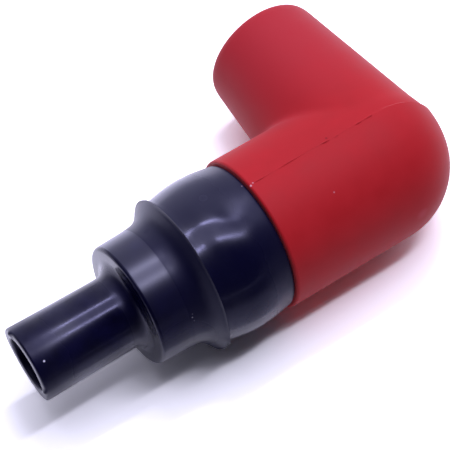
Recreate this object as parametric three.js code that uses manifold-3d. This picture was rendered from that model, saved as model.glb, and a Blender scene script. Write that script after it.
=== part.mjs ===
// A right-angled spark plug cap, lying on its side as it does on a bench.
//
// A moulded red elbow joins two arms. The lead arm carries a spigot, and a black rubber boot is pushed
// over it: the ignition lead enters through the boot's narrow tube and is screwed onto the pointed screw
// at the bottom of the spigot. The plug arm tapers to the mouth that goes over the spark plug. Inside,
// the current runs from the screw through a spring and a resistor to a brass socket with a wire clip,
// which snaps onto the plug's terminal nut. A rubber seal in the mouth grips the plug's insulator.
//
// Millimetres, +Z up. +X runs along the lead arm from the tube's mouth to the elbow, +Y along the plug
// arm to its mouth. The origin is under the middle of the cap, on the surface that it lies on.
import * as THREE from "three";
import { mergeVertices } from "three/addons/utils/BufferGeometryUtils.js";
import Module from "manifold-3d";

// Fits
const clearance = 0.3; // between round pieces that touch or slide
const leadRadius = 3.5; // a 7 mm ignition lead
const leadPlay = 0.35; // the lead pushes in easily
const insulatorRadius = 5.1; // the plug's insulator below its terminal nut
const insulatorPlay = 0.3;
const sealGrip = 0.2; // the seal's lips are tighter than the insulator
const nutRadius = 3.15; // the plug's terminal nut
const nutPlay = 0.1;

// Elbow and lead arm; distances along an arm start at the elbow's centre
const armRadius = 11;
const shoulder = 19.9; // where the red shoulder meets the boot
const shoulderRound = 0.45;
const crotchFillet = 3; // rolling-ball fillet between the arms
const spigotRadius = 7.6;
const spigotLength = 11.3;
const beadHeight = 0.5; // retaining bead round the spigot
const beadWidth = 2.4;
const beadPlace = 5.3; // from the shoulder
const elbowStep = 0.06; // the plug arm is a touch slimmer than the elbow that it grows from

// Plug arm
const plugReach = 25.8;
const plugMouthWall = 2; // round the rubber seal
const plugMouthRound = 1.3;

// Boot, from the shoulder outwards
const domeLength = 10.6;
const domeCrown = 4.7; // from the shoulder to where the dome is as wide as the arm
const domeEndDrop = 0.95; // the dome is rounded down to the red shoulder
const domeCrestDrop = 0.5; // and down again to the crest
const crestHeight = 0.4; // sharp crest with a fine groove behind it
const crestWidth = 0.35;
const flareLength = 3.9;
const collarLength = 4.5;
const collarBackRadius = 8.75;
const collarFrontRadius = 8.6;
const collarEdge = 0.55;
const tubeLength = 15.3;
const tubeRadius = 5.3; // at its mouth
const tubeRootRadius = 5.15;
const tubeEdge = 0.25;
const tubeFillet = 1.8;

// Contacts
const socketWall = 1.25; // brass socket
const socketDepth = 9.4; // depth of its bore
const socketFloor = 1.2;
const socketFlange = 0.8; // thickness and overhang of the flange on its mouth
const clipWire = 0.3; // wire radius
const clipPlace = 4.6; // from the socket's mouth
const clipGap = 2.5; // each leg's distance from the socket's axis
const resistorRadius = 2;
const resistorLength = 8.4;
const capWall = 0.35;
const capDepth = 1.8;
const springWire = 0.3; // wire radius
const springRadius = 1.9; // to the wire's centre
const springLength = 4.2;
const springTurns = 4;
const screwFlange = 1.4; // thickness
const screwRadius = 1.4;
const screwPoint = 3.2; // length of its point
const screwInset = 2.9; // its point lies inside the spigot's end

// Rubber seal
const sealWall = 1.2;
const sealLength = 8;
const sealInset = 0.4; // below the mouth's rim
const lipRoot = 1.8; // length of a lip along the bore, at its root
const lipEdge = 0.4; // and at its edge

// Fineness of the round shapes
const aroundArm = 60;
const aroundSmall = 28;
const aroundWire = 8;
const coilSteps = 18; // in each turn of the spring
const clipSteps = 40;

// What follows from the sizes above
const boreRadius = leadRadius + leadPlay;
const spigotEnd = shoulder + spigotLength;
const socketBore = nutRadius + nutPlay;
const socketRadius = socketBore + socketWall;
const socketSeat = socketRadius + clearance;
const socketBottom = -socketRadius;
const socketMouth = socketBottom + socketFloor + socketDepth;
const plugBore = Math.max(insulatorRadius + insulatorPlay, socketRadius + socketFlange + clearance);
const sealOuter = insulatorRadius + sealWall;
const sealSeat = sealOuter + clearance;
const sealFloor = plugReach - sealInset - sealLength;
const plugRootRadius = armRadius - elbowStep;
const plugMouthRadius = sealSeat + plugMouthWall;
const resistorStart = socketRadius + clearance;
const capRadius = resistorRadius + clearance + capWall;
const resistorBore = capRadius + clearance;
const resistorEnd = resistorStart + resistorLength;
const springEnd = resistorEnd + springLength;
const screwRoot = springEnd + screwFlange;
const screwTip = spigotEnd - screwInset;

const wasm = await Module();
wasm.setup();

// Solid of a closed geometry: only the positions are kept, and shared corners are merged.
function solid(geometry) {
  const bare = geometry.clone();
  bare.deleteAttribute("normal");
  bare.deleteAttribute("uv");
  const merged = mergeVertices(bare, 1e-4);
  const corners = merged.index.array;
  const faces = [];
  for (let i = 0; i < corners.length; i += 3) {
    const [a, b, c] = corners.slice(i, i + 3);
    if (a !== b && b !== c && c !== a) faces.push(a, b, c);
  }
  return new wasm.Manifold(
    new wasm.Mesh({
      numProp: 3,
      vertProperties: merged.attributes.position.array,
      triVerts: new Uint32Array(faces),
    }),
  );
}

function geometryOf(body) {
  const mesh = body.getMesh();
  const geometry = new THREE.BufferGeometry();
  geometry.setAttribute("position", new THREE.BufferAttribute(mesh.vertProperties, 3));
  geometry.setIndex(new THREE.BufferAttribute(mesh.triVerts, 1));
  geometry.computeVertexNormals();
  return geometry;
}

// Outline points are [radius, distance along the arm].
const point = ([radius, along]) => new THREE.Vector2(radius, along);

// Quarter of an ellipse between two corners of an outline. It leaves the first corner along the arm
// when startsAlong is true, and square to the arm otherwise.
function quarter([r0, d0], [r1, d1], startsAlong, steps = 4) {
  const points = [];
  for (let i = 0; i <= steps; i++) {
    const angle = (i / steps) * (Math.PI / 2);
    const early = Math.sin(angle);
    const late = 1 - Math.cos(angle);
    const [shareR, shareD] = startsAlong ? [late, early] : [early, late];
    points.push([r0 + (r1 - r0) * shareR, d0 + (d1 - d0) * shareD]);
  }
  return points;
}

// Bend between two corners of an outline, heading for a third corner on the way.
const bend = (from, towards, to, steps) =>
  new THREE.QuadraticBezierCurve(point(from), point(towards), point(to))
    .getPoints(steps)
    .map(({ x, y }) => [x, y]);

// Closed ring or solid of revolution about its own +Y axis.
function turned(outline, around = aroundSmall) {
  const points = outline.map(point);
  if (outline[0][0] > 0) points.push(points[0].clone());
  return new THREE.LatheGeometry(points, around);
}

// Lays a turned piece along the lead arm: distances then run from the elbow towards the tube's mouth.
const alongLead = (geometry) => geometry.rotateZ(Math.PI / 2);

// Plain cylinder along an arm.
const rod = (radius, from, to) => turned([[0, from], [radius, from], [radius, to], [0, to]]);

// Skin over sections with equal numbers of points, closed by a fan at each end.
function loft(sections) {
  const count = sections[0].length;
  const geometry = new THREE.BufferGeometry().setFromPoints(sections.flat());
  const faces = [];
  for (let s = 0; s + 1 < sections.length; s++) {
    for (let k = 0; k < count; k++) {
      const next = (k + 1) % count;
      const [a, b] = [s * count + k, s * count + next];
      faces.push(a, b, b + count, a, b + count, a + count);
    }
  }
  const last = (sections.length - 1) * count;
  for (let k = 1; k + 1 < count; k++) {
    faces.push(0, k + 1, k);
    faces.push(last, last + k, last + k + 1);
  }
  geometry.setIndex(faces);
  return geometry;
}

// The fillet in the elbow's crotch is what a ball leaves that rolls along the crease, touching the round
// lead arm and the tapered plug arm. Each section joins the two touching points by an arc of the ball,
// and closes inside the arms.
function crotch() {
  const taper = Math.atan((plugRootRadius - plugMouthRadius) / plugReach);
  const steps = 22;
  const arcSteps = 4;
  const bite = 0.05; // the ball dips into the arms, so that its track ends on a clean edge
  const offset = crotchFillet - bite;
  const fromLead = armRadius + offset;
  const top = Math.asin((plugRootRadius * Math.cos(taper) + offset) / fromLead) - taper;
  const reach = 0.96 * top; // the crease dies out towards the top and the bottom
  const inside = 0.9;
  const sections = [];
  for (let s = 0; s <= steps; s++) {
    const turn = reach * (1 - (2 * s) / steps);
    const y = fromLead * Math.cos(turn);
    const z = fromLead * Math.sin(turn);
    const fromPlug = plugRootRadius - Math.tan(taper) * y + offset / Math.cos(taper);
    const x = -Math.sqrt(fromPlug ** 2 - z ** 2);
    const centre = new THREE.Vector3(x, y, z);
    const toLead = new THREE.Vector3(0, -Math.cos(turn), -Math.sin(turn));
    const toPlug = new THREE.Vector3((-x / fromPlug) * Math.cos(taper), -Math.sin(taper),
      (-z / fromPlug) * Math.cos(taper));
    const opening = toLead.angleTo(toPlug);
    const section = [];
    for (let k = 0; k <= arcSteps; k++) {
      const share = k / arcSteps;
      const a = Math.sin((1 - share) * opening) / Math.sin(opening);
      const b = Math.sin(share * opening) / Math.sin(opening);
      const touch = toLead.clone().multiplyScalar(a).addScaledVector(toPlug, b);
      section.push(centre.clone().addScaledVector(touch, crotchFillet));
    }
    const [onLead, onPlug] = [section[0], section[arcSteps]];
    section.push(new THREE.Vector3(onPlug.x, onLead.y, onLead.z).multiplyScalar(inside));
    sections.push(section);
  }
  return loft(sections);
}

function bodyGeometry() {
  const quarterTurn = aroundArm / 4;
  const beadStart = shoulder + beadPlace;
  const leadArm = alongLead(turned([
    ...quarter([0, -armRadius], [armRadius, 0], false, quarterTurn),
    ...quarter([armRadius, shoulder - shoulderRound], [armRadius - shoulderRound, shoulder], true),
    [spigotRadius, shoulder],
    [spigotRadius, beadStart],
    [spigotRadius + beadHeight, beadStart + beadWidth / 3],
    [spigotRadius + beadHeight, beadStart + (beadWidth * 2) / 3],
    [spigotRadius, beadStart + beadWidth],
    [spigotRadius, spigotEnd],
    [0, spigotEnd],
  ], aroundArm));
  const plugArm = turned([
    [0, 0],
    [plugRootRadius, 0],
    ...quarter([plugMouthRadius, plugReach - plugMouthRound], [plugMouthRadius - plugMouthRound, plugReach],
      true),
    [0, plugReach],
  ], aroundArm);
  const plugCut = turned([
    [0, socketBottom],
    [socketSeat, socketBottom],
    [socketSeat, socketMouth - socketFlange],
    [plugBore, socketMouth - socketFlange],
    [plugBore, sealFloor],
    [sealSeat, sealFloor],
    [sealSeat, plugReach + clearance],
    [0, plugReach + clearance],
  ], aroundArm);
  const leadCut = alongLead(turned([
    [0, 0],
    [resistorBore, 0],
    [resistorBore, springEnd],
    [boreRadius, springEnd],
    [boreRadius, spigotEnd + clearance],
    [0, spigotEnd + clearance],
  ], aroundArm));
  return geometryOf(
    solid(leadArm)
      .add(solid(plugArm))
      .add(solid(crotch()))
      .subtract(solid(plugCut))
      .subtract(solid(leadCut)),
  );
}

function bootGeometry() {
  const start = shoulder + clearance;
  const crest = shoulder + domeLength;
  const flareEnd = crest + flareLength;
  const collarEnd = flareEnd + collarLength;
  const mouth = collarEnd + tubeLength;
  const grooveRadius = armRadius - domeCrestDrop;
  const crestRadius = grooveRadius + crestHeight;
  const crown = shoulder + domeCrown;
  const cavity = spigotRadius + clearance;
  const beadStart = shoulder + beadPlace;
  return alongLead(turned([
    ...quarter([armRadius - domeEndDrop, start], [armRadius, crown], false, 6),
    ...bend([armRadius, crown], [armRadius, (crown + crest) / 2], [grooveRadius, crest - crestWidth], 5),
    [crestRadius, crest],
    ...bend([crestRadius, crest + crestWidth], [collarBackRadius + crestHeight, crest + flareLength / 4],
      [collarBackRadius, flareEnd], 6),
    ...quarter([collarFrontRadius, collarEnd - collarEdge], [collarFrontRadius - collarEdge, collarEnd],
      true, 2),
    ...quarter([tubeRootRadius + tubeFillet, collarEnd], [tubeRootRadius, collarEnd + tubeFillet], false, 5),
    ...quarter([tubeRadius, mouth - tubeEdge], [tubeRadius - tubeEdge, mouth], true, 2),
    [boreRadius, mouth],
    [boreRadius, spigotEnd],
    [cavity, spigotEnd],
    [cavity, beadStart + beadWidth + clearance],
    [cavity + beadHeight, beadStart + (beadWidth * 2) / 3 + clearance / 2],
    [cavity + beadHeight, beadStart + beadWidth / 3 - clearance / 2],
    [cavity, beadStart - clearance],
    [cavity, start],
  ], aroundArm));
}

// Brass socket: a cup with a flange on its mouth, a groove for the clip and two windows that let the
// clip's legs into the bore.
function socketGeometry() {
  const floor = socketBottom + socketFloor;
  const place = socketMouth - clipPlace;
  const halfSlot = clipWire + clearance;
  const grooveRadius = clipRadius() - clipWire - clearance;
  const cup = solid(turned([
    [0, socketBottom],
    [socketRadius, socketBottom],
    [socketRadius, place - halfSlot],
    [grooveRadius, place - halfSlot],
    [grooveRadius, place + halfSlot],
    [socketRadius, place + halfSlot],
    [socketRadius, socketMouth - socketFlange],
    [socketRadius + socketFlange, socketMouth - socketFlange],
    [socketRadius + socketFlange, socketMouth],
    [socketBore, socketMouth],
    [socketBore, floor],
    [0, floor],
  ]));
  const inner = clipGap - clipWire - clearance;
  const window = new THREE.BoxGeometry(socketRadius, 2 * halfSlot, 2 * socketRadius);
  const cut = [1, -1].reduce(
    (body, side) =>
      body.subtract(solid(window.clone().translate(side * (inner + socketRadius / 2), place, 0))),
    cup,
  );
  return geometryOf(cut);
}

// Radius of the clip's bow, to the middle of its wire: the wire stays inside the socket's outside.
function clipRadius() {
  return socketRadius - clipWire;
}

const wireSection = (radius) => {
  const section = new THREE.Shape();
  for (let i = 0; i < aroundWire; i++) {
    const angle = (i / aroundWire) * 2 * Math.PI;
    section[i ? "lineTo" : "moveTo"](radius * Math.cos(angle), radius * Math.sin(angle));
  }
  section.closePath();
  return section;
};

const wire = (path, radius, steps) =>
  new THREE.ExtrudeGeometry(wireSection(radius), { extrudePath: path, steps, bevelEnabled: false });

// Wire clip: two straight legs across the socket's bore, joined by a bow in the socket's groove.
function clipGeometry() {
  const bowRadius = clipRadius();
  const corner = Math.sqrt(bowRadius ** 2 - clipGap ** 2);
  const place = socketMouth - clipPlace;
  const start = Math.atan2(corner, clipGap);
  const bowSteps = 8;
  const points = [[clipGap, -corner], [clipGap, 0], [clipGap, corner * 0.9]];
  for (let i = 0; i <= bowSteps; i++) {
    const angle = start + (i / bowSteps) * (Math.PI - 2 * start);
    points.push([bowRadius * Math.cos(angle), bowRadius * Math.sin(angle)]);
  }
  points.push([-clipGap, corner * 0.9], [-clipGap, 0], [-clipGap, -corner]);
  const path = new THREE.CatmullRomCurve3(
    points.map(([x, z]) => new THREE.Vector3(x, place, z)), false, "centripetal");
  return wire(path, clipWire, clipSteps);
}

class Coil extends THREE.Curve {
  constructor(radius, length, turns) {
    super();
    Object.assign(this, { radius, length, turns });
  }

  getPoint(t, target = new THREE.Vector3()) {
    const angle = 2 * Math.PI * this.turns * t;
    return target.set(this.radius * Math.cos(angle), this.length * t, this.radius * Math.sin(angle));
  }
}

// Pressure spring, its end turns ground flat where they bear on the screw and the resistor's cap.
function springGeometry() {
  const coil = wire(new Coil(springRadius, springLength, springTurns), springWire, springTurns * coilSteps);
  const between = rod(springRadius + 2 * springWire, 0, springLength);
  const ground = solid(coil).intersect(solid(between));
  return alongLead(geometryOf(ground).translate(0, resistorEnd, 0));
}

// Cup pressed over one end of the resistor.
const capOutline = [
  [0, 0],
  [capRadius, 0],
  [capRadius, capDepth],
  [resistorRadius + clearance, capDepth],
  [resistorRadius + clearance, capWall],
  [0, capWall],
];
const innerCap = () => alongLead(turned(capOutline).translate(0, resistorStart, 0));
const outerCap = () => alongLead(turned(capOutline).rotateX(Math.PI).translate(0, resistorEnd, 0));
const resistor = () => alongLead(rod(resistorRadius, resistorStart + capWall, resistorEnd - capWall));

// Pointed screw that goes into the lead's core, with a flange that seats on the step in the spigot. Its
// thread is left plain.
const screwGeometry = () => alongLead(turned([
  [0, springEnd],
  [boreRadius - clearance, springEnd],
  [boreRadius - clearance, screwRoot],
  [screwRadius, screwRoot],
  [screwRadius, screwTip - screwPoint],
  [0, screwTip],
]));

// Rubber seal in the plug mouth, with two lips that grip the insulator.
function sealGeometry() {
  const rim = plugReach - sealInset;
  const lip = insulatorRadius - sealGrip;
  const wall = insulatorRadius + insulatorPlay;
  const lipAt = (place) => [
    [wall, place + lipRoot / 2],
    [lip, place + lipEdge / 2],
    [lip, place - lipEdge / 2],
    [wall, place - lipRoot / 2],
  ];
  return turned([
    [sealOuter, sealFloor],
    [sealOuter, rim],
    [wall, rim],
    ...lipAt(rim - sealLength / 4),
    ...lipAt(rim - (sealLength * 3) / 4),
    [wall, sealFloor],
  ], aroundArm);
}

const finish = (color, roughness, metalness = 0) =>
  new THREE.MeshStandardMaterial({ color, roughness, metalness });
const redMoulding = () => finish(0xbe323a, 0.55);
const blackRubber = () => finish(0x1b1a2c, 0.35);
const brass = () => finish(0xb5913f, 0.35, 1);
const steel = () => finish(0xb8bbc0, 0.3, 1);
const ceramic = () => finish(0xd8cdb8, 0.6);

const pieces = [
  ["cap_body", bodyGeometry(), redMoulding()],
  ["lead_boot", bootGeometry(), blackRubber()],
  ["lead_screw", screwGeometry(), brass()],
  ["contact_spring", springGeometry(), steel()],
  ["resistor_outer_cap", outerCap(), brass()],
  ["resistor_rod", resistor(), ceramic()],
  ["resistor_inner_cap", innerCap(), brass()],
  ["plug_socket", socketGeometry(), brass()],
  ["socket_clip", clipGeometry(), steel()],
  ["plug_seal", sealGeometry(), blackRubber()],
];

// The arms' axes cross above the middle of the elbow; the group is moved so that the origin lies under
// the middle of the cap.
const tubeMouth = shoulder + domeLength + flareLength + collarLength + tubeLength;
const cap = new THREE.Group();
cap.name = "spark_plug_cap";
for (const [name, geometry, material] of pieces) {
  const mesh = new THREE.Mesh(geometry, material);
  mesh.name = name;
  cap.add(mesh);
}
cap.position.set((tubeMouth - armRadius) / 2, (armRadius - plugReach) / 2, armRadius);

export default cap;
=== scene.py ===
# %% [markdown]
# # A right-angled spark plug cap
# The real cap is a red moulded elbow with a black rubber boot pushed over one arm. Its construction is
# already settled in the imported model, so this lesson only makes each piece look like the real one: soft
# moulded edges, a fine parting line, half-glossy rubber and the studio light of a product photograph.

# %% Load the fixed frame
import math

import bpy
from mathutils import Matrix, Vector, noise


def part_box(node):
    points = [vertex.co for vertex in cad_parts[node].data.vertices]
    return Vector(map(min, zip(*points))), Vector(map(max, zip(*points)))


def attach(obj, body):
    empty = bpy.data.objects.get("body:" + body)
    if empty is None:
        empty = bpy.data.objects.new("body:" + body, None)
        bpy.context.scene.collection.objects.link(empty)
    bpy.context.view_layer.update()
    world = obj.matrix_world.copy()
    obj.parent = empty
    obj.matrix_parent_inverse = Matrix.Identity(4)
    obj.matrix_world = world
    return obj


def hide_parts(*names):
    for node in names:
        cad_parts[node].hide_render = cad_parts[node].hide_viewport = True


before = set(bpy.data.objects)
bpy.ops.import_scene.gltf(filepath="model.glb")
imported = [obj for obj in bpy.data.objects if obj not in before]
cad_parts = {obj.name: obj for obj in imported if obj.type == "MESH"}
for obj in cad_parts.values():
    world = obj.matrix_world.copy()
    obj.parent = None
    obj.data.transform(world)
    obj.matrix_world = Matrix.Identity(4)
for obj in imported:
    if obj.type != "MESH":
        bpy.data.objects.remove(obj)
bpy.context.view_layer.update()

print("frame:", sorted(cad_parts))

# %% [markdown]
# ## Sizes that everything follows
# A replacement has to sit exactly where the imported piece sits. The safest way is to measure the packed
# pieces' boxes and to work the rest out from them, so that no number is written twice. Distances along an
# arm are counted from the elbow's centre, where the two arms' axes cross.

# %% Sizes from the frame
MM = 0.001
BODY_LO, BODY_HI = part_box("cap_body")
BOOT_LO, BOOT_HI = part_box("lead_boot")
ARM = (BODY_HI.z - BODY_LO.z) / 2
ELBOW = Vector((BODY_HI.x - ARM, BODY_LO.y + ARM, BODY_LO.z + ARM))
PLUG_MOUTH = BODY_HI.y - ELBOW.y
TUBE_MOUTH = ELBOW.x - BOOT_LO.x
BOOT_START = ELBOW.x - BOOT_HI.x
SPIGOT_END = ELBOW.x - BODY_LO.x
GAP = 0.3 * MM
SEAM_SHIFT = 0.3 * MM   # the real rubber's lip reaches a little further over the red arm
SHOULDER = BOOT_START - GAP - SEAM_SHIFT
SEAM = 0.12 * MM        # the rubber nearly touches the red shoulder
print("arm radius", round(ARM / MM, 2), "mm, elbow at", [round(v / MM, 2) for v in ELBOW])

# %% [markdown]
# ## Turning a piece
# Most of this cap is round about one of the two arms. By hand, a turner's outline is drawn point by
# point and then spun. A plane merged to a single point is the start, each extrude adds a corner, and Spin
# makes the solid. Doubles on the axis are merged first, and the normals are turned outwards afterwards.


# %% Spin an outline about an arm
def deselect_all():
    if bpy.context.mode != "OBJECT":
        bpy.ops.object.mode_set(mode="OBJECT")
    bpy.ops.object.select_all(action="DESELECT")


def close_up(threshold):
    """Merges doubles and turns all faces outwards, in edit mode, then leaves edit mode."""
    bpy.ops.mesh.select_all(action="SELECT")
    bpy.ops.mesh.remove_doubles(threshold=threshold)
    bpy.ops.mesh.normals_make_consistent(inside=False)
    bpy.ops.object.mode_set(mode="OBJECT")


def turned(name, outline, axis="lead", steps=96):
    """Solid of revolution. outline is a list of (distance along the arm, radius) in metres."""
    along = Vector((-1, 0, 0)) if axis == "lead" else Vector((0, 1, 0))
    out = Vector((0, 0, 1))
    corners = [ELBOW + along * a + out * r for a, r in outline]
    if outline[0][1] > 0:
        corners.append(corners[0])
    deselect_all()
    bpy.ops.mesh.primitive_plane_add(size=MM, location=corners[0])
    piece = bpy.context.object
    piece.name = piece.data.name = name
    bpy.ops.object.transform_apply(location=True, rotation=True, scale=True)
    bpy.ops.object.mode_set(mode="EDIT")
    bpy.ops.mesh.merge(type="CENTER")
    for before, after in zip(corners, corners[1:]):
        bpy.ops.mesh.extrude_vertices_move(TRANSFORM_OT_translate={"value": after - before})
    bpy.ops.mesh.select_all(action="SELECT")
    bpy.ops.mesh.spin(steps=steps, angle=2 * math.pi, center=ELBOW, axis=along)
    close_up(1e-6)
    return piece


# %% Round corners and soft curves for outlines
def arc(centre, radii, start, end, count=8):
    """Points of an outline on an ellipse's arc, angles in degrees from the arm's direction."""
    points = []
    for i in range(count + 1):
        angle = math.radians(start + (end - start) * i / count)
        points.append((centre[0] + radii[0] * math.cos(angle), centre[1] + radii[1] * math.sin(angle)))
    return points


def softened(corners, spacing):
    """Points on a smooth curve through the corners of an outline, about one spacing apart."""
    points = []
    padded = [Vector(p) for p in (corners[0], *corners, corners[-1])]
    for before, start, end, after in zip(padded, padded[1:], padded[2:], padded[3:]):
        count = max(1, round((end - start).length / spacing))
        for i in range(count):
            t = i / count
            spot = (start + (end - before) * 0.5 * t
                    + (before - 2.5 * start + 2 * end - 0.5 * after) * t**2
                    + (1.5 * start - 0.5 * before - 1.5 * end + 0.5 * after) * t**3)
            points.append(tuple(spot))
    return points + [corners[-1]]


# %% [markdown]
# ## Joining, cutting and handing over
# Turned solids are joined and cut by the Boolean modifier, as a mould is made of turned cavities. A piece
# that is ready gets its finish, rides on the frame's only body, and hides the imported piece that it
# replaces.


# %% Modifiers, booleans and smooth shading
def apply_modifier(piece, kind, **settings):
    deselect_all()
    bpy.context.view_layer.objects.active = piece
    piece.select_set(True)
    modifier = piece.modifiers.new(kind.lower(), kind)
    for key, value in settings.items():
        setattr(modifier, key, value)
    bpy.ops.object.modifier_apply(modifier=modifier.name)


def combine(piece, tool, operation):
    """Joins or cuts with another solid, which is then thrown away."""
    apply_modifier(piece, "BOOLEAN", object=tool, operation=operation, solver="EXACT")
    bpy.data.objects.remove(tool)


def smooth(piece, degrees=35):
    deselect_all()
    bpy.context.view_layer.objects.active = piece
    piece.select_set(True)
    bpy.ops.object.shade_smooth_by_angle(angle=math.radians(degrees))


def finished(piece, material, node):
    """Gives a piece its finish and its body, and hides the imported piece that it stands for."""
    piece.data.materials.clear()
    piece.data.materials.append(material)
    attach(piece, "root")
    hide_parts(node)
    print(piece.name, len(piece.data.polygons), "faces")


# %% [markdown]
# ## Shared finishes as node groups
# Three effects are used again and again. Grain is the faint unevenness that a mould leaves, in colour and in
# height. A band marks a stretch of the lead arm, and a spot marks one small round place. Each is one node
# group with named inputs, so that every material uses the same recipe with its own values.


# %% Node group helpers
def node_group(name, inputs, outputs):
    group = bpy.data.node_groups.new(name, "ShaderNodeTree")
    for label, kind, default in inputs:
        socket = group.interface.new_socket(label, in_out="INPUT", socket_type=kind)
        socket.default_value = default
    for label in outputs:
        group.interface.new_socket(label, in_out="OUTPUT", socket_type="NodeSocketFloat")
    return group, group.nodes.new("NodeGroupInput"), group.nodes.new("NodeGroupOutput")


def add_node(tree, kind, inputs=None, **settings):
    node = tree.nodes.new(kind)
    for key, value in settings.items():
        setattr(node, key, value)
    for key, value in (inputs or {}).items():
        if isinstance(value, bpy.types.NodeSocket):
            tree.links.new(value, node.inputs[key])
        else:
            node.inputs[key].default_value = value
    return node


def math_node(tree, operation, first, second, third=None, **settings):
    """Output of a Math node with two or three inputs."""
    inputs = {0: first, 1: second} if third is None else {0: first, 1: second, 2: third}
    return add_node(tree, "ShaderNodeMath", inputs, operation=operation, **settings).outputs[0]


# %% Grain
FINE_SHARE = 0.35        # height of the fine grain, where the coarse one is 1


def grain_group():
    """Colour mottling and height of a moulded skin."""
    group, given, result = node_group(
        "moulded grain",
        [("Coarse", "NodeSocketFloat", 300.0), ("Fine", "NodeSocketFloat", 4000.0)],
        ["Mottle", "Height"],
    )
    place = add_node(group, "ShaderNodeTexCoord").outputs["Object"]
    coarse = add_node(group, "ShaderNodeTexNoise",
                      {"Vector": place, "Scale": given.outputs["Coarse"], "Detail": 4.0})
    fine = add_node(group, "ShaderNodeTexNoise",
                    {"Vector": place, "Scale": given.outputs["Fine"], "Detail": 3.0})
    height = math_node(group, "MULTIPLY_ADD", fine.outputs["Fac"], FINE_SHARE, coarse.outputs["Fac"])
    group.links.new(coarse.outputs["Fac"], result.inputs["Mottle"])
    group.links.new(height, result.inputs["Height"])
    return group


# %% Bands along the arm
def band_group():
    """Mask between two places along X, with soft ends."""
    group, given, result = node_group(
        "band along the arm",
        [("From", "NodeSocketFloat", 0.0), ("To", "NodeSocketFloat", 0.01),
         ("Softness", "NodeSocketFloat", 1e-4)],
        ["Mask"],
    )
    place = add_node(group, "ShaderNodeTexCoord")
    along = add_node(group, "ShaderNodeSeparateXYZ", {"Vector": place.outputs["Object"]})
    ends = []
    for label, sign in (("From", 1.0), ("To", -1.0)):
        inside = math_node(group, "SUBTRACT", along.outputs["X"], given.outputs[label])
        depth = math_node(group, "DIVIDE", inside, given.outputs["Softness"])
        ends.append(math_node(group, "MULTIPLY_ADD", depth, sign, 0.5, use_clamp=True))
    group.links.new(math_node(group, "MULTIPLY", *ends), result.inputs["Mask"])
    return group


# %% Single spots
def spot_group():
    """Mask of one round spot at a given place, with a soft edge."""
    group, given, result = node_group(
        "single spot",
        [("Place", "NodeSocketVector", (0.0, 0.0, 0.0)), ("Radius", "NodeSocketFloat", 1e-4),
         ("Softness", "NodeSocketFloat", 5e-5)],
        ["Mask"],
    )
    place = add_node(group, "ShaderNodeTexCoord")
    reach = add_node(group, "ShaderNodeVectorMath",
                     {0: place.outputs["Object"], 1: given.outputs["Place"]}, operation="DISTANCE")
    inside = math_node(group, "SUBTRACT", given.outputs["Radius"], reach.outputs["Value"])
    depth = math_node(group, "DIVIDE", inside, given.outputs["Softness"])
    group.links.new(math_node(group, "ADD", depth, 0.5, use_clamp=True), result.inputs["Mask"])
    return group


GRAIN = grain_group()
BAND = band_group()
SPOT = spot_group()
print("node groups:", [group.name for group in (GRAIN, BAND, SPOT)])

# %% [markdown]
# ## Moulded finishes
# The red moulding is silky matt: its mould was blasted, so it shows a soft sheen and no mirror image. The
# black rubber is half glossy and slightly violet, and a satin bloom lies on it in clouds. One recipe makes
# both, because a moulded skin always varies a little in tone, gloss and height. The bloom is a coat whose
# weight follows a second, larger grain.

# %% One recipe for moulded skins
MOTTLE_LOW, MOTTLE_HIGH = 0.3, 0.7        # the noise hardly leaves this range


def skin_of(material):
    return material.node_tree.nodes["Principled BSDF"]


def moulded(name, dark, light, roughness, bump, coarse=300.0, specular=0.5, tint=(1, 1, 1), spread=0.04):
    """Moulded skin: mottled between two colours, with grain and a silky or glossy finish."""
    material = bpy.data.materials.new(name)
    material.use_nodes = True
    tree = material.node_tree
    shader = skin_of(material)
    grain = add_node(tree, "ShaderNodeGroup", node_tree=GRAIN)
    grain.inputs["Coarse"].default_value = coarse
    tones = add_node(tree, "ShaderNodeValToRGB", {"Fac": grain.outputs["Mottle"]})
    for stop, position, colour in zip(tones.color_ramp.elements, (MOTTLE_LOW, MOTTLE_HIGH), (dark, light)):
        stop.position = position
        stop.color = (*colour, 1)
    tree.links.new(tones.outputs["Color"], shader.inputs["Base Color"])
    rough = add_node(tree, "ShaderNodeMapRange", {
        "Value": grain.outputs["Mottle"], "From Min": MOTTLE_LOW, "From Max": MOTTLE_HIGH,
        "To Min": roughness - spread, "To Max": roughness + spread})
    tree.links.new(rough.outputs["Result"], shader.inputs["Roughness"])
    relief = add_node(tree, "ShaderNodeBump", {"Strength": 1.0, "Distance": bump,
                                               "Height": grain.outputs["Height"]})
    tree.links.new(relief.outputs["Normal"], shader.inputs["Normal"])
    shader.inputs["Specular IOR Level"].default_value = specular
    shader.inputs["Specular Tint"].default_value = (*tint, 1)
    return material


def metal(name, colour, roughness):
    material = moulded(name, tuple(0.85 * c for c in colour), colour, roughness, 0.004 * MM, coarse=600.0)
    skin_of(material).inputs["Metallic"].default_value = 1.0
    return material


# %% The part's finishes
RED = moulded("red moulding", (0.455, 0.008, 0.013), (0.495, 0.011, 0.017), 0.62, 0.012 * MM, specular=0.2)
skin_of(RED).inputs["Sheen Weight"].default_value = 0.12
skin_of(RED).inputs["Sheen Roughness"].default_value = 0.4
RUBBER = moulded("black rubber", (0.0008, 0.0005, 0.009), (0.0028, 0.0023, 0.023), 0.16, 0.006 * MM,
                 specular=0.26, tint=(0.7, 0.69, 1.0), spread=0.05)
SEAL = moulded("seal rubber", (0.004, 0.004, 0.009), (0.007, 0.006, 0.013), 0.4, 0.008 * MM, specular=0.3)
BRASS = metal("brass", (0.72, 0.5, 0.2), 0.3)
STEEL = metal("bright wire", (0.62, 0.63, 0.66), 0.25)
CERAMIC = moulded("fired ceramic", (0.62, 0.52, 0.4), (0.72, 0.64, 0.52), 0.55, 0.01 * MM)

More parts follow.
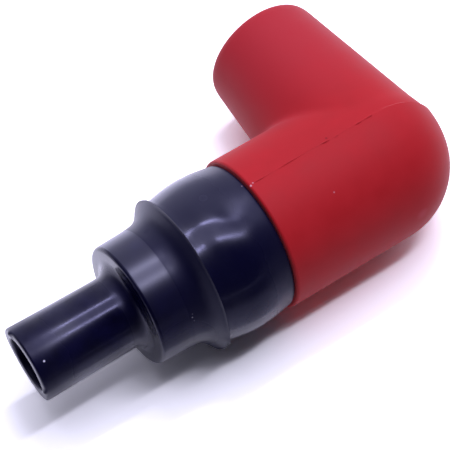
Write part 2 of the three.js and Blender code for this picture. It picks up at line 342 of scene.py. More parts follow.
# %% Satin bloom in clouds on the rubber
clouds = add_node(RUBBER.node_tree, "ShaderNodeGroup", node_tree=GRAIN)
clouds.inputs["Coarse"].default_value = 170.0
bloom = add_node(RUBBER.node_tree, "ShaderNodeMapRange", {
    "Value": clouds.outputs["Mottle"], "From Min": 0.36, "From Max": 0.66, "To Min": 0.04, "To Max": 0.34})
RUBBER.node_tree.links.new(bloom.outputs["Result"], skin_of(RUBBER).inputs["Coat Weight"])
skin_of(RUBBER).inputs["Coat Roughness"].default_value = 0.3
skin_of(RUBBER).inputs["Coat Tint"].default_value = (0.74, 0.74, 1.0, 1)
print("finishes:", [finish.name for finish in (RED, RUBBER, SEAL, BRASS, STEEL, CERAMIC)])

# %% [markdown]
# ## Marks laid over a finish
# A used or handled moulding has a few marks of its own: a fleck, a smudge, a stretch with less gloss. They
# could be painted on a texture, but masks from the two groups stay sharp at any distance. Each mark mixes
# one input of the shader towards a new value, so that marks can be stacked in any number. One spot also
# lays a painted sheen into the red's colour.


# %% Bands and spots on one input of the shader
def blend_in(material, socket, mask, value):
    """Changes one input of the shader to a value wherever the mask is white."""
    tree = material.node_tree
    target = skin_of(material).inputs[socket]
    if socket == "Base Color":
        mix = add_node(tree, "ShaderNodeMix", data_type="RGBA")
        factor, first, second, mixed = mix.inputs[0], mix.inputs[6], mix.inputs[7], mix.outputs[2]
    else:
        mix = add_node(tree, "ShaderNodeMix")
        factor, first, second, mixed = mix.inputs[0], mix.inputs[2], mix.inputs[3], mix.outputs[0]
    tree.links.new(mask, factor)
    tree.links.new(target.links[0].from_socket, first)
    second.default_value = value
    tree.links.new(mixed, target)


def banded(material, socket, start, end, softness, value):
    """One band round the lead arm, between two distances along it."""
    band = add_node(material.node_tree, "ShaderNodeGroup", node_tree=BAND)
    for label, number in (("From", ELBOW.x - end), ("To", ELBOW.x - start), ("Softness", softness)):
        band.inputs[label].default_value = number
    blend_in(material, socket, band.outputs["Mask"], value)


def spotted(material, socket, along, radius, angle, size, softness, value):
    """One spot on the lead arm, by its distance along the arm and from the axis and its angle, in mm."""
    turn = math.radians(angle)
    offset = Vector((-along, radius * math.cos(turn), radius * math.sin(turn))) * MM
    spot = add_node(material.node_tree, "ShaderNodeGroup", node_tree=SPOT)
    for label, number in (("Place", ELBOW + offset), ("Radius", size * MM), ("Softness", softness * MM)):
        spot.inputs[label].default_value = number
    blend_in(material, socket, spot.outputs["Mask"], value)


# %% [markdown]
# ## The red elbow
# On the real cap this is one moulding: two round arms that flow into each other. It could be sculpted,
# but two turned solids joined by a boolean keep the true radii. A fine voxel remesh then makes one even
# skin, and smoothing softens the crotch and every rim, as a polished mould does. The bores are cut last,
# so that their edges stay crisp.

# %% Outer skin of the elbow
MOUTH_RADIUS = 8.6 * MM
MOUTH_ROUND = 1.3 * MM
ROOT_RADIUS = 10.94 * MM
VOXEL = 0.25 * MM
SPARE = 3 * MM           # the skin first runs past the shoulder, where it is cut later


def elbow_skin():
    lead = turned("elbow", [
        *arc((0, 0), (ARM, ARM), 180, 90, 24),
        (SHOULDER + SPARE, ARM),
        (SHOULDER + SPARE, 0),
    ])
    mouth = (PLUG_MOUTH - MOUTH_ROUND, MOUTH_RADIUS - MOUTH_ROUND)
    plug = turned("plug arm", [
        (0, 0),
        (0, ROOT_RADIUS),
        *arc(mouth, (MOUTH_ROUND, MOUTH_ROUND), 90, 0),
        (PLUG_MOUTH, 0),
    ], "plug")
    combine(lead, plug, "UNION")
    apply_modifier(lead, "REMESH", mode="VOXEL", voxel_size=VOXEL)
    apply_modifier(lead, "SMOOTH", factor=0.5, iterations=40)
    print("elbow skin:", len(lead.data.vertices), "corners")
    return lead


body = elbow_skin()

# %% [markdown]
# ## The step between the mould's halves
# Where the halves of a mould don't meet exactly, one side of the moulding stands a hair proud of the other.
# In the photograph the line over the elbow is lit like such a step. Bump could only tilt the light there.
# The skin is fine enough to carry a real step, so its corners are moved outwards, most at the line and less
# with the distance from it.

# %% Step over the elbow
STEP = 0.22 * MM
STEP_PLACE = 0.2 * MM     # behind the upright plane through the lead arm
STEP_FADE = 4.5 * MM
STEP_START = 4.0 * MM     # along the lead arm


def mould_step(piece):
    """The front half of the mould is a little wider over the elbow."""
    for corner in piece.data.vertices:
        offset = corner.co - ELBOW
        depth = (STEP_PLACE - offset.y) / STEP_FADE
        if 0 <= depth < 1 and offset.x > -STEP_START:
            grown = min(1, (offset.x + STEP_START) / (2 * STEP_START))
            corner.co += Vector((offset.x, 0, offset.z)).normalized() * STEP * grown * (1 - depth)**2


mould_step(body)
print("step:", round(STEP / MM, 2), "mm")

# %% [markdown]
# ## Shoulder, spigot and bores
# Under the boot the elbow narrows to a spigot with a low bead, which keeps the rubber from slipping off. A
# bevel would have to find the right edge in a remeshed skin. A turned cutter with a hollow corner ends the
# arm and rounds its edge in one cut, and the spigot is joined on as a turned solid of its own. The bores
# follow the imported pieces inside, each with a little play.

# %% Shoulder and spigot
SHOULDER_ROUND = 0.4 * MM
SPIGOT_RADIUS = 7.6 * MM
SPIGOT_ROOT = 4 * MM      # how deep the spigot reaches into the elbow
BEAD_PLACE, BEAD_WIDTH, BEAD_HEIGHT = 5.0 * MM, 2.4 * MM, 0.5 * MM

shoulder_cut = turned("shoulder cut", [
    (SHOULDER + 6 * MM, 0),
    (SHOULDER + 6 * MM, ARM + 4 * MM),
    (SHOULDER - 3 * SHOULDER_ROUND, ARM + 4 * MM),
    (SHOULDER - 1.2 * SHOULDER_ROUND, ARM + 0.05 * MM),
    *arc((SHOULDER - SHOULDER_ROUND, ARM - SHOULDER_ROUND), (SHOULDER_ROUND, SHOULDER_ROUND), 80, 0),
    (SHOULDER, 0),
])
combine(body, shoulder_cut, "DIFFERENCE")
bead = SHOULDER + BEAD_PLACE
spigot = turned("spigot", [
    (SHOULDER - SPIGOT_ROOT, 0),
    (SHOULDER - SPIGOT_ROOT, SPIGOT_RADIUS),
    (bead, SPIGOT_RADIUS),
    *arc((bead + BEAD_WIDTH / 2, SPIGOT_RADIUS), (BEAD_WIDTH / 2, BEAD_HEIGHT), 180, 0),
    (SPIGOT_END, SPIGOT_RADIUS),
    (SPIGOT_END, 0),
])
combine(body, spigot, "UNION")
print("spigot:", round((SPIGOT_END - SHOULDER) / MM, 1), "mm long")

# %% Bores
LEAD_BORE = 3.85 * MM
RESISTOR_BORE = 2.95 * MM
FLANGE = 0.8 * MM         # thickness and overhang of the flange on the socket's mouth
SOCKET_INSET = 0.5 * MM   # the flange's overhang less the play round the cup
SCREW_LO, SCREW_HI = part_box("lead_screw")
SOCKET_LO, SOCKET_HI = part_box("plug_socket")
SEAL_LO, SEAL_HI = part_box("plug_seal")
SCREW_SEAT = ELBOW.x - SCREW_HI.x
SOCKET_RADIUS = (SOCKET_HI.x - SOCKET_LO.x) / 2
SEAL_RADIUS = (SEAL_HI.x - SEAL_LO.x) / 2
SOCKET_START, SOCKET_END = SOCKET_LO.y - ELBOW.y, SOCKET_HI.y - ELBOW.y
SEAL_START, SEAL_END = SEAL_LO.y - ELBOW.y, SEAL_HI.y - ELBOW.y

lead_cut = turned("lead cut", [
    (0, 0),
    (0, RESISTOR_BORE),
    (SCREW_SEAT, RESISTOR_BORE),
    (SCREW_SEAT, LEAD_BORE),
    (SPIGOT_END + MM, LEAD_BORE),
    (SPIGOT_END + MM, 0),
])
combine(body, lead_cut, "DIFFERENCE")
plug_cut = turned("plug cut", [
    (SOCKET_START, 0),
    (SOCKET_START, SOCKET_RADIUS - SOCKET_INSET),
    (SOCKET_END - FLANGE, SOCKET_RADIUS - SOCKET_INSET),
    (SOCKET_END - FLANGE, SOCKET_RADIUS + GAP),
    (SEAL_START, SOCKET_RADIUS + GAP),
    (SEAL_START, SEAL_RADIUS + GAP),
    (PLUG_MOUTH + MM, SEAL_RADIUS + GAP),
    (PLUG_MOUTH + MM, 0),
], "plug")
combine(body, plug_cut, "DIFFERENCE")
print("bores:", round(2 * LEAD_BORE / MM, 1), "and", round(2 * (SEAL_RADIUS + GAP) / MM, 1), "mm across")

# %% [markdown]
# ## Parting line of the mould
# Where the halves of the mould met, a thread of plastic stands out of the skin, and it is rougher where flash
# was torn off. The photograph shows it on top of the lead arm. A painted line would have no edge of its own,
# so a thin wire is extruded along the arm and back underneath, mostly sunk in the skin. The spin that joins
# the two runs goes through the inside of the arm and crosses the resistor's bore out of sight, so that over
# the elbow's end only the step between the halves shows.

# %% Wire along the parting plane
RIDGE_WIRE = 0.13 * MM
RIDGE_SINK = 0.1 * MM
RIDGE_STEPS = 40
TORN_PLACE = 4 * MM       # where flash was torn off, along the lead arm
TORN_LENGTH = 5 * MM
# unevenness of the wire's height and of its path, in mm, each with what the torn flash adds
UNEVEN, TORN_UNEVEN = 0.13, 0.5
WANDER, TORN_WANDER = 0.06, 0.15


def parting_ridge():
    reach = SHOULDER - 0.5 * MM
    deselect_all()
    bpy.ops.mesh.primitive_circle_add(vertices=8, radius=RIDGE_WIRE, fill_type="NGON",
                                      location=ELBOW + Vector((-reach, 0, ARM - RIDGE_SINK)),
                                      rotation=(0, math.radians(90), 0))
    ridge = bpy.context.object
    ridge.name = ridge.data.name = "parting ridge"
    bpy.ops.object.transform_apply(location=True, rotation=True, scale=True)
    bpy.ops.object.mode_set(mode="EDIT")
    bpy.ops.mesh.select_all(action="SELECT")
    for run in (1, -1):
        stride = (run * reach / RIDGE_STEPS, 0, 0)
        for i in range(RIDGE_STEPS):
            bpy.ops.mesh.extrude_region_move(TRANSFORM_OT_translate={"value": stride})
        if run == 1:
            bpy.ops.mesh.spin(steps=48, angle=math.pi, center=ELBOW, axis=(0, 1, 0))
    close_up(1e-7)
    for corner in ridge.data.vertices:
        offset = corner.co - ELBOW
        outward = Vector((max(0, offset.x), 0, offset.z)).normalized()
        torn = math.exp(-((offset.x + TORN_PLACE) / TORN_LENGTH)**2)
        flash = abs(noise.noise(corner.co * 650)) * torn
        corner.co += outward * (UNEVEN * noise.noise(corner.co * 420) + TORN_UNEVEN * flash) * MM
        corner.co.y += noise.noise(corner.co * 250) * (WANDER + TORN_WANDER * torn) * MM
    return ridge


combine(body, parting_ridge(), "UNION")
smooth(body)
finished(body, RED, "cap_body")

# %% [markdown]
# ## The rubber boot
# The boot steps down from the elbow to the narrow lead tube: a barrel-shaped dome, a thin flash line, a
# hollow flare, a collar and the tube. It could be built from rings and blends, but one outline carries them
# all, so it is turned in one go. The soft parts of the outline run through a few measured points.

# %% Outline of the boot
CREST = BOOT_START + 10.3 * MM
COLLAR_START = CREST + 3.9 * MM
COLLAR_END = COLLAR_START + 4.65 * MM
COLLAR = 8.6 * MM
COLLAR_EDGE = 0.5 * MM
TUBE = 5.3 * MM
TUBE_ROOT = 5.15 * MM
TUBE_FILLET = 1.8 * MM
TUBE_RIM = 0.34 * MM
# distance from the start of each part and height over the arm's radius, in mm
DOME = [(0.22, -0.5), (0.8, -0.4), (1.6, -0.27), (2.5, -0.12), (3.4, 0.0), (4.4, 0.07), (5.4, 0.09),
        (6.5, 0.03), (7.6, -0.1), (8.6, -0.27), (9.4, -0.41), (10.05, -0.5)]
FLASH_LINE = [(-0.1, -0.47), (-0.05, 0.08), (0.05, 0.08), (0.14, -0.14)]
FLARE = [(0.3, -0.3), (0.7, -0.78), (1.1, -1.24), (1.6, -1.68), (2.2, -1.98), (3.0, -2.17), (3.9, -2.24)]


def over_arm(start, points):
    return [(start + at * MM, ARM + rise * MM) for at, rise in points]


def boot_outline():
    """Dome, flash line, flare, collar and tube from the seam to the mouth, then back through the bore."""
    start = SHOULDER + SEAM
    return [
        *over_arm(start, [(0, -0.78), (0.07, -0.6)]),
        *softened(over_arm(start, DOME), 0.35 * MM),
        *over_arm(CREST, FLASH_LINE),
        *softened(over_arm(CREST, FLARE), 0.35 * MM),
        *softened([*over_arm(COLLAR_START, [(0.12, -2.26)]), (COLLAR_END - COLLAR_EDGE, COLLAR)], 0.5 * MM),
        *arc((COLLAR_END - COLLAR_EDGE, COLLAR - COLLAR_EDGE), (COLLAR_EDGE, COLLAR_EDGE), 75, 0, 6),
        *arc((COLLAR_END + TUBE_FILLET, TUBE_ROOT + TUBE_FILLET), (TUBE_FILLET, TUBE_FILLET), 180, 270, 12),
        (TUBE_MOUTH - 6 * MM, (TUBE + TUBE_ROOT) / 2),
        (TUBE_MOUTH - 3 * MM, TUBE - 0.05 * MM),
        *arc((TUBE_MOUTH - TUBE_RIM, TUBE - TUBE_RIM), (TUBE_RIM, TUBE_RIM), 90, 0, 4),
        *arc((TUBE_MOUTH - TUBE_RIM, LEAD_BORE + TUBE_RIM), (TUBE_RIM, TUBE_RIM), 0, -90, 4),
        (SPIGOT_END, LEAD_BORE),
        (SPIGOT_END, SPIGOT_RADIUS + GAP),
        (start, SPIGOT_RADIUS + GAP),
    ]


boot = turned("lead_boot_rubber", boot_outline(), steps=180)
print("boot:", round((TUBE_MOUTH - SHOULDER) / MM, 1), "mm long")

# %% [markdown]
# ## Dents and a slanted mouth
# Warm rubber is pulled off its core, which leaves soft dents, and the tube is cut to length by hand. The
# dents bend the lamps' reflections on the dome, and this gives the highlights their waves. Each is a smooth
# bump or hollow at a place along and round the arm. The mouth leans, and the knife left two small nubs.

# %% Dents
# distance along the arm, angle round it, height of the bulge, half-lengths in mm and in degrees
DENTS = [(23.7, 93, -0.4, 1.7, 13), (23.8, 130, 0.16, 1.5, 12), (28.7, 115, -0.04, 0.6, 8),
         (32.6, 75, -0.08, 0.9, 9), (26.5, 70, -0.06, 1.6, 12), (22.6, 150, -0.05, 1.2, 12),
         (30.5, 191, 0.3, 0.2, 2.5)]
FLASH_WIDTH = 0.12 * MM
FLASH_WAVE, FLASH_WAVE_LENGTH = 0.07, 9      # in mm and in degrees
SKIN_WAVE, SKIN_WAVE_SCALE = 0.012, 260      # in mm and per metre


def bell(distance, half):
    return math.exp(-(distance / half)**2 / 2)


def place_on_arm(corner):
    """Distance along the lead arm, distance from its axis and angle round it (degrees, 90 on top)."""
    offset = corner - ELBOW
    turn = math.degrees(math.atan2(offset.z, offset.y)) % 360
    return -offset.x, math.hypot(offset.y, offset.z), turn


def dented(piece):
    """Moves the outside in and out by the dents, an uneven flash line and a faint overall waviness."""
    for corner in piece.data.vertices:
        along, radius, angle = place_on_arm(corner.co)
        if along > COLLAR_END - 0.7 * MM or radius < SPIGOT_RADIUS + 2 * GAP:
            continue
        outward = Vector((0, corner.co.y - ELBOW.y, corner.co.z - ELBOW.z)).normalized()
        height = sum(rise * bell(along / MM - at, length) * bell(angle - round_at, width)
                     for at, round_at, rise, length, width in DENTS)
        on_flash = math.exp(-((along - CREST) / FLASH_WIDTH)**2)
        height += FLASH_WAVE * noise.noise(Vector((angle / FLASH_WAVE_LENGTH, 0, 0))) * on_flash
        height += SKIN_WAVE * noise.noise(corner.co * SKIN_WAVE_SCALE)
        corner.co += outward * height * MM


dented(boot)
print("dents:", len(DENTS))

# %% Slanted mouth
LEAN_ANGLE = 112          # the tube is longest on this side
LEAN, CUT_SHORT, CUT_BOW = 0.34, 0.04, 0.1      # in mm: lean, whole edge shorter, both flanks longer
NUBS = [(57, 0.3, 4), (176, 0.28, 3)]      # angle, height in mm, half-width in degrees


def lean_mouth(piece):
    """Longer at the upper front, shorter at the lower back."""
    for corner in piece.data.vertices:
        along, radius, angle = place_on_arm(corner.co)
        if along > TUBE_MOUTH - 1.5 * MM:
            turn = math.radians(angle - LEAN_ANGLE)
            corner.co.x -= (LEAN * math.cos(turn) - CUT_SHORT + CUT_BOW * math.sin(turn)**2) * MM
            if radius > TUBE - 0.6 * MM and along > TUBE_MOUTH - 0.3 * MM:
                corner.co.x -= sum(rise * bell(angle - at, width) for at, rise, width in NUBS) * MM


lean_mouth(boot)
smooth(boot, 40)
finished(boot, RUBBER, "lead_boot")

# %% [markdown]
# ## Satin collar, haze, small marks and a painted sheen
# The collar is satin on top, the dome and the flare carry a thin bluish haze, and both skins have a few pale
# flecks and smudges. The whole red plug arm is made a little greyer in colour, which is a painted sheen: the
# grazing sheen of its silky skin is laid into the colour. The flecks could be scattered by chance, but the
# photograph shows them in certain places, so they are put there. Wide marks come first and small ones last,
# because a later mark lies over an earlier one.

# %% Bands and wide patches on the rubber
CRISP = 0.12 * MM
COLLAR_TOP = COLLAR_END - 0.45 * MM      # where the collar's rounded edge begins

banded(RUBBER, "Base Color", SHOULDER - MM, COLLAR_START, 1.5 * MM, (0.003, 0.0027, 0.018, 1))
spotted(RUBBER, "Coat Weight", 27.5, 11.0, 62, 5.5, 6.0, 0.5)
banded(RUBBER, "Roughness", CREST, COLLAR_START, CRISP, 0.4)
banded(RUBBER, "Roughness", COLLAR_START, COLLAR_TOP, CRISP, 0.33)
banded(RUBBER, "Coat Weight", COLLAR_START, COLLAR_TOP, CRISP, 0.75)
spotted(RUBBER, "Coat Weight", 36.0, 8.7, 188, 5.6, 3.5, 0.06)
spotted(RUBBER, "Roughness", 36.0, 8.7, 192, 5.2, 3.0, 0.2)
banded(RUBBER, "Roughness", COLLAR_END + 0.3 * MM, COLLAR_END + 2.2 * MM, 0.5 * MM, 0.3)
banded(RUBBER, "Roughness", SHOULDER - 4.5 * MM, SHOULDER + 3.0 * MM, 4.5 * MM, 0.42)
banded(RUBBER, "Roughness", TUBE_MOUTH - 4 * MM, TUBE_MOUTH + MM, 4 * MM, 0.4)

# %% Flecks, smudges and a painted sheen
PALE, DUSTY, FAINT = (0.7, 0.68, 0.78, 1), (0.4, 0.38, 0.45, 1), (0.25, 0.24, 0.3, 1)
# along, radius, angle, size and softness in mm and degrees, and the colour
RUBBER_FLECKS = [
    (53.03, 5.28, 128, 0.14, 0.05, PALE),
    (33.95, 8.85, 155, 0.07, 0.06, DUSTY), (34.1, 8.85, 158, 0.1, 0.06, DUSTY),
    (34.3, 8.85, 163, 0.06, 0.06, DUSTY), (34.0, 8.85, 162, 0.07, 0.06, DUSTY),
    (42.6, 5.3, 126, 0.08, 0.06, FAINT),
    (20.1, 10.6, 86, 0.12, 0.08, (0.5, 0.3, 0.36, 1)),
]
SMUDGES = [(53.6, 5.3, 86, 0.5), (33.2, 9.0, 68, 0.45), (25.3, 11.0, 80, 0.5)]
SMUDGE_SOFTNESS, SMUDGE_ROUGHNESS = 0.4, 0.6
RED_FLECKS_AND_SHEEN = [
    (19.35, 10.95, 91, 0.14, 0.1, (0.75, 0.35, 0.4, 1)),
    (18.9, 10.97, 90, 0.1, 0.1, (0.7, 0.3, 0.36, 1)),
    (7.0, 11.0, 88, 0.14, 0.12, (0.25, 0.0, 0.005, 1)),
    (10.5, 10.97, 124, 0.1, 0.08, (0.6, 0.2, 0.25, 1)),
    # painted sheen: this entry greys the whole plug arm, its grazing sheen laid into the colour
    (0, 21, 0, 14, 12, (0.47, 0.021, 0.032, 1)),       # the plug arm as a whole is a little greyer
    (-0.7, 10.97, 176, 0.7, 0.8, (0.52, 0.03, 0.045, 1)),
]
for colour_spot in RUBBER_FLECKS:
    spotted(RUBBER, "Base Color", *colour_spot)
for smudge in SMUDGES:
    spotted(RUBBER, "Roughness", *smudge, SMUDGE_SOFTNESS, SMUDGE_ROUGHNESS)
# The red table lays flecks and, in one entry, a painted sheen over the plug arm into the colour.
for colour_spot in RED_FLECKS_AND_SHEEN:
    spotted(RED, "Base Color", *colour_spot)
print("flecks and smudges:", len(RUBBER_FLECKS) + len(SMUDGES) + len(RED_FLECKS_AND_SHEEN))

# %% [markdown]
# ## What the two mouths show
# Looking into the plug mouth one sees the rubber seal with its two lips and the brass socket behind it. The
# tube's bore ends at the screw that bites into the lead. These three are worth modelling again, with
# rounded lips, broken edges and a real thread. The pieces behind them stay as packed.

# %% Rubber seal
INSULATOR_HOLE = 5.4 * MM
LIP_RADIUS = 4.9 * MM
SEAL_EDGE = 0.3 * MM


def lip_at(place):
    """One rounded lip inside the seal, from the side of the mouth to the side of the socket."""
    half = [(0.95 * MM, INSULATOR_HOLE), (0.5 * MM, INSULATOR_HOLE - 0.2 * MM), (0.15 * MM, LIP_RADIUS)]
    near = [(place + at, radius) for at, radius in half]
    far = [(place - at, radius) for at, radius in reversed(half)]
    return softened(near + far, 0.15 * MM)


seal = turned("plug_seal_rubber", [
    (SEAL_START, INSULATOR_HOLE),
    (SEAL_START, SEAL_RADIUS - SEAL_EDGE),
    (SEAL_START + SEAL_EDGE, SEAL_RADIUS),
    *arc((SEAL_END - SEAL_EDGE, SEAL_RADIUS - SEAL_EDGE), (SEAL_EDGE, SEAL_EDGE), 90, 0, 4),
    *arc((SEAL_END - SEAL_EDGE, INSULATOR_HOLE + SEAL_EDGE), (SEAL_EDGE, SEAL_EDGE), 0, -90, 4),
    *lip_at(SEAL_END - 2 * MM),
    *lip_at(SEAL_END - 6 * MM),
], "plug")
smooth(seal, 40)
finished(seal, SEAL, "plug_seal")

# %% [markdown]
# ## Brass socket
# The socket is a turned cup. Its edges are broken, as on every turned part, a groove holds the clip's bow,
# and two windows let the clip's legs into the bore. The groove is in the outline, and the windows are two
# straight cuts, as a milling cutter leaves them.

# %% Turned cup
SOCKET_BORE = 3.25 * MM
SOCKET_FLOOR = 1.2 * MM
SOCKET_EDGE = 0.12 * MM
MOUTH_EDGE = 0.3 * MM
CLIP_PLACE = 4.6 * MM
HALF_SLOT = 0.6 * MM
SLOT_DEPTH = 0.9 * MM

cup = SOCKET_RADIUS - FLANGE
slot = SOCKET_END - CLIP_PLACE
socket = turned("plug_socket_brass", [
    (SOCKET_START, 0),
    (SOCKET_START, cup - SOCKET_EDGE),
    (SOCKET_START + SOCKET_EDGE, cup),
    (slot - HALF_SLOT, cup),
    (slot - HALF_SLOT, cup - SLOT_DEPTH),
    (slot + HALF_SLOT, cup - SLOT_DEPTH),
    (slot + HALF_SLOT, cup),
    (SOCKET_END - FLANGE, cup),
    (SOCKET_END - FLANGE, SOCKET_RADIUS - SOCKET_EDGE),
    (SOCKET_END - FLANGE + SOCKET_EDGE, SOCKET_RADIUS),
    *arc((SOCKET_END - SOCKET_EDGE, SOCKET_RADIUS - SOCKET_EDGE), (SOCKET_EDGE, SOCKET_EDGE), 90, 0, 3),
    *arc((SOCKET_END - MOUTH_EDGE, SOCKET_BORE + MOUTH_EDGE), (MOUTH_EDGE, MOUTH_EDGE), 0, -90, 4),
    (SOCKET_START + SOCKET_FLOOR, SOCKET_BORE),
    (SOCKET_START + SOCKET_FLOOR, 0),
], "plug", 72)
print("socket:", round(2 * SOCKET_BORE / MM, 1), "mm bore")

# %% Windows for the clip's legs
WINDOW_PLACE = 4.15 * MM
WINDOW_SIZE = (4.5 * MM, 2 * HALF_SLOT, 9 * MM)
for side in (1, -1):
    deselect_all()
    bpy.ops.mesh.primitive_cube_add(size=1, location=ELBOW + Vector((side * WINDOW_PLACE, slot, 0)),
                                    scale=WINDOW_SIZE)
    bpy.ops.object.transform_apply(location=True, rotation=True, scale=True)
    combine(socket, bpy.context.object, "DIFFERENCE")
smooth(socket, 30)
finished(socket, BRASS, "plug_socket")

# %% [markdown]
# ## Screw with its thread
# The screw cuts into the lead's core as the lead is turned on. A thread could be a spring-like curve, but
# the Screw modifier winds a small triangle round the arm's axis and keeps the true pitch. The ridge is
# capped and joined to the pointed core, so that the screw stays one solid.

# %% Pointed core
SCREW_RADIUS = 1.4 * MM
SCREW_CORE = 1.05 * MM
SCREW_POINT = 3.2 * MM
SCREW_FLANGE = 1.4 * MM
SCREW_EDGE = 0.15 * MM
CORE_FILLET = 0.2 * MM

screw_tip = ELBOW.x - SCREW_LO.x
flange_radius = (SCREW_HI.z - SCREW_LO.z) / 2
flange_end = SCREW_SEAT + SCREW_FLANGE
screw = turned("lead_screw_brass", [
    (SCREW_SEAT, 0),
    (SCREW_SEAT, flange_radius - SCREW_EDGE),
    (SCREW_SEAT + SCREW_EDGE, flange_radius),
    (flange_end - SCREW_EDGE, flange_radius),
    (flange_end, flange_radius - SCREW_EDGE),
    (flange_end, SCREW_CORE + CORE_FILLET),
    (flange_end + CORE_FILLET, SCREW_CORE),
    (screw_tip - SCREW_POINT, SCREW_CORE),
    (screw_tip, 0),
], steps=48)
print("screw:", round((screw_tip - SCREW_SEAT) / MM, 1), "mm long")

# %% Helical ridge
PITCH = 0.9 * MM
RIDGE_SIZE = 0.32 * MM


def thread_ridge():
    start = flange_end + 0.5 * MM
    turns = int((screw_tip - SCREW_POINT - start) / PITCH)
    deselect_all()
    bpy.ops.mesh.primitive_circle_add(vertices=3, radius=RIDGE_SIZE, rotation=(math.radians(90), 0, 0),
                                      location=ELBOW - Vector((start, 0, 0)))
    ridge = bpy.context.object
    bpy.ops.object.mode_set(mode="EDIT")
    bpy.ops.mesh.select_all(action="SELECT")
    bpy.ops.transform.translate(value=(0, 0, SCREW_RADIUS - RIDGE_SIZE))
    bpy.ops.object.mode_set(mode="OBJECT")
    bpy.ops.object.transform_apply(location=False, rotation=True, scale=True)
    apply_modifier(ridge, "SCREW", axis="X", angle=2 * math.pi, iterations=turns, steps=36,
                   screw_offset=-PITCH, use_merge_vertices=False)
    bpy.ops.object.mode_set(mode="EDIT")
    bpy.ops.mesh.select_all(action="SELECT")
    bpy.ops.mesh.remove_doubles(threshold=1e-7)
    bpy.ops.mesh.fill_holes(sides=0)
    close_up(1e-7)
    bpy.ops.object.transform_apply(location=True, rotation=True, scale=True)
    print("thread:", turns, "turns")
    return ridge


combine(screw, thread_ridge(), "UNION")
smooth(screw)
finished(screw, BRASS, "lead_screw")

# %% [markdown]
# ## Inner pieces that stay as packed
# The spring, the resistor with its two cups and the clip lie deep inside, and only the clip's legs show
# through the plug's mouth. They could be modelled again too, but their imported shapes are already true, so
# they only get finishes: bright drawn wire, pressed brass and fired ceramic.

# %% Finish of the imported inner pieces
INNER = {"contact_spring": STEEL, "resistor_outer_cap": BRASS, "resistor_rod": CERAMIC,
         "resistor_inner_cap": BRASS, "socket_clip": STEEL}
for node, finish in INNER.items():
    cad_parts[node].data.materials.clear()
    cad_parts[node].data.materials.append(finish)
print("packed pieces with a finish:", sorted(INNER))

# %% [markdown]
# ## White paper
# The photograph is a high-key product shot on a white surface that keeps a soft shadow. More light would
# wash the cap out, so the paper itself is drawn brighter to the camera and to reflections, and stays plain
# paper for the light that bounces off it.

# %% Paper on the floor
PAPER = (0.87, 0.865, 0.82)
SHOWN_LIFT = 2.0         # how much brighter the camera and reflections see the paper
deselect_all()
bpy.ops.mesh.primitive_plane_add(size=3.0, location=(0, 0, 0))
floor = bpy.context.object
floor.name = "floor"
paper = bpy.data.materials.new("white paper")
paper.use_nodes = True
tree = paper.node_tree
rays = add_node(tree, "ShaderNodeLightPath").outputs
seen = math_node(tree, "MAXIMUM", rays["Is Camera Ray"], rays["Is Glossy Ray"])
seen = math_node(tree, "MAXIMUM", seen, rays["Is Transmission Ray"])
shade = add_node(tree, "ShaderNodeMix", data_type="RGBA", clamp_result=False)
tree.links.new(seen, shade.inputs[0])
shade.inputs[6].default_value = (*PAPER, 1)
shade.inputs[7].default_value = (*[c * SHOWN_LIFT for c in PAPER], 1)
tree.links.new(shade.outputs[2], skin_of(paper).inputs["Base Color"])
skin_of(paper).inputs["Roughness"].default_value = 0.9
skin_of(paper).inputs["Specular IOR Level"].default_value = 0.2
floor.data.materials.append(paper)
print("paper:", PAPER)

# %% [markdown]
# ## The tent round the object
# Black rubber shows what stands round it. Its top is grey and its front nearly black, so a bright cloth
# hangs behind and above, and the side of the camera is dark. The left is darker than the right, where the
# daylight comes from. The world's direction gives all of this without any object in the scene.

# %% Light tent
DAYLIGHT = (0.88, 0.87, 1.12)
CLOTH, FRONT = 1.12, 0.06
CLOTH_TILT = math.radians(13.5)
CLOTH_EDGE = 0.1         # half the width of the soft change from the cloth to the front
# from the far left (0) to the far right (1), and how much of the cloth's light comes from there
SIDES = [(0.0, 0.1), (0.14, 0.14), (0.36, 0.72), (0.8, 1.0)]

world = bpy.data.worlds.new("light tent")
bpy.context.scene.world = world
world.use_nodes = True
tree = world.node_tree
place = add_node(tree, "ShaderNodeTexCoord").outputs["Generated"]
behind = add_node(tree, "ShaderNodeVectorMath", {0: place}, operation="DOT_PRODUCT")
behind.inputs[1].default_value = (0, math.cos(CLOTH_TILT), math.sin(CLOTH_TILT))
light = add_node(tree, "ShaderNodeMapRange",
                 {"Value": behind.outputs["Value"], "From Min": -CLOTH_EDGE, "From Max": CLOTH_EDGE,
                  "To Min": FRONT, "To Max": CLOTH}, interpolation_type="SMOOTHSTEP")
across = add_node(tree, "ShaderNodeSeparateXYZ", {"Vector": place})
side = add_node(tree, "ShaderNodeMapRange", {"Value": across.outputs["X"], "From Min": -1.0})
ramp = add_node(tree, "ShaderNodeValToRGB", {"Fac": side.outputs["Result"]})
stops = ramp.color_ramp.elements
while len(stops) < len(SIDES):
    stops.new(1.0)
for stop, (at, level) in zip(stops, SIDES):
    stop.position = at
    stop.color = (level, level, level, 1)
strength = math_node(tree, "MULTIPLY", light.outputs["Result"], ramp.outputs["Color"])
sky = tree.nodes["Background"]
sky.inputs["Color"].default_value = (*DAYLIGHT, 1)
tree.links.new(strength, sky.inputs["Strength"])
print("tent:", CLOTH, "behind,", FRONT, "in front")

# %% [markdown]
# ## Lamps
# Two long strips in the tent's roof draw the two lines on the dome and the streak on the tube, and a wide
# cloth between them darkens the shadow right under the cap. Glowing planes could stand for them, but area
# lamps have a size as well and give less noise. All three shine straight down.

# %% Strips and ceiling cloth
TENT = 0.4               # height of the roof


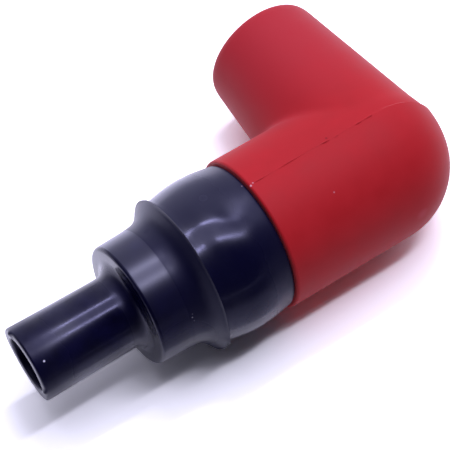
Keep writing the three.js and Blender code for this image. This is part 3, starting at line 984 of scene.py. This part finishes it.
def area_light(name, place, size, power):
    deselect_all()
    bpy.ops.object.light_add(type="AREA", location=place)
    lamp = bpy.context.object
    lamp.name = name
    lamp.data.shape = "RECTANGLE"
    lamp.data.size, lamp.data.size_y = size
    lamp.data.energy = power
    lamp.data.color = DAYLIGHT
    print(name, power, "W")


area_light("back strip", (0.1, 0.10, TENT), (0.19, 0.026), 0.4)
area_light("front strip", (0.1, -0.095, TENT), (0.19, 0.026), 0.36)
area_light("ceiling cloth", (0.03, -0.02, TENT + 0.02), (0.3, 0.24), 0.42)

# %% [markdown]
# ## Dark card in front of the object
# A photographer lays a dark card before a glossy object, so that its low front side mirrors no white paper.
# Here only reflections see the card: cameras, shadows and bounced light don't. Its near edge fades out, so
# that no line shows in the rubber.

# %% Card
CARD_NEAR, CARD_FAR, CARD_WIDTH = -0.022, -0.36, 0.6
CARD_FADE = -0.07        # darkest from here on
deselect_all()
bpy.ops.mesh.primitive_plane_add(size=1, location=(0, (CARD_NEAR + CARD_FAR) / 2, MM))
card = bpy.context.object
card.name = "dark card"
card.scale = (CARD_WIDTH, CARD_NEAR - CARD_FAR, 1)
bpy.ops.object.transform_apply(location=True, rotation=True, scale=True)
card.visible_camera = False
card.visible_diffuse = False
card.visible_shadow = False
felt = bpy.data.materials.new("dark felt")
felt.use_nodes = True
tree = felt.node_tree
place = add_node(tree, "ShaderNodeTexCoord")
across = add_node(tree, "ShaderNodeSeparateXYZ", {"Vector": place.outputs["Object"]})
fade = add_node(tree, "ShaderNodeMapRange",
                {"Value": across.outputs["Y"], "From Min": CARD_FADE, "From Max": CARD_NEAR},
                interpolation_type="SMOOTHSTEP")
tone = add_node(tree, "ShaderNodeValToRGB", {"Fac": fade.outputs["Result"]})
tone.color_ramp.elements[0].color = (0.1, 0.1, 0.115, 1)
tone.color_ramp.elements[1].color = (0.8, 0.8, 0.84, 1)
tree.links.new(tone.outputs["Color"], skin_of(felt).inputs["Base Color"])
skin_of(felt).inputs["Roughness"].default_value = 0.9
card.data.materials.append(felt)
print("card:", card.name)

# %% [markdown]
# ## Camera
# The photographer stood before the cap, a little towards the tube's mouth and well above it, with a long
# lens. The angles could be set by eye, but they were fitted to the cap's outline, so that the arms' edges
# fall where the photograph has them.

# %% Camera at the photograph's place
AIM = ELBOW + Vector((-21.3, 3.3, 0)) * MM
DISTANCE = 265.3 * MM
AZIMUTH, ELEVATION, ROLL = math.radians(-32.5), math.radians(54.27), math.radians(-2.6)
bpy.ops.object.camera_add()
camera = bpy.context.object
back = Vector((math.sin(AZIMUTH) * math.cos(ELEVATION), -math.cos(AZIMUTH) * math.cos(ELEVATION),
               math.sin(ELEVATION)))
camera.location = AIM + back * DISTANCE
turn = (-back).to_track_quat("-Z", "Y").to_matrix() @ Matrix.Rotation(ROLL, 3, "Z")
camera.rotation_euler = turn.to_euler()
camera.data.lens = 160
camera.data.sensor_width = 36
bpy.context.scene.camera = camera
bpy.context.scene.view_settings.view_transform = "Standard"
print("camera at", [round(v, 3) for v in camera.location])
